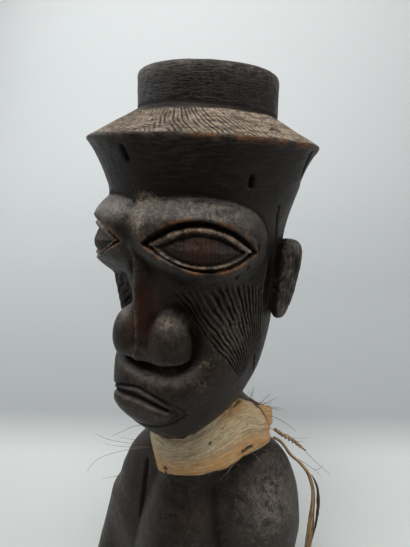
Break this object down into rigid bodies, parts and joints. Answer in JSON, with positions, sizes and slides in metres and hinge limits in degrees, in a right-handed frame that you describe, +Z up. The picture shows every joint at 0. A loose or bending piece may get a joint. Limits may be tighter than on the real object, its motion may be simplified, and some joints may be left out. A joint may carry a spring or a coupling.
{
  "type": "carved figure bust",
  "caption": "Head and shoulders of a dark carved wooden figure with a flared hat, mask-like face and ears, a rawhide collar round the neck and two hanging laces.",
  "frame": {"origin": "on the flat underside of the bust, below the middle of the hat", "axes": "+Z up, the face looks along -Y, the figure's left side is +X"},
  "size_m": [0.1192, 0.1, 0.2824],
  "materials": {
    "dark_wood": "dark brown-black aged wood with a grey sheen, worn red-brown edges and tan dust in the cuts",
    "rawhide": "pale straw rawhide, wrinkled along its length, orange-brown towards the lower edge",
    "lace": "dry twisted hide and bark fibre"
  },
  "bodies": {
    "root": {"carved_figure": "dark_wood", "hide_collar": "rawhide", "long_lace": "lace", "short_lace": "lace"}
  },
  "joints": []
}
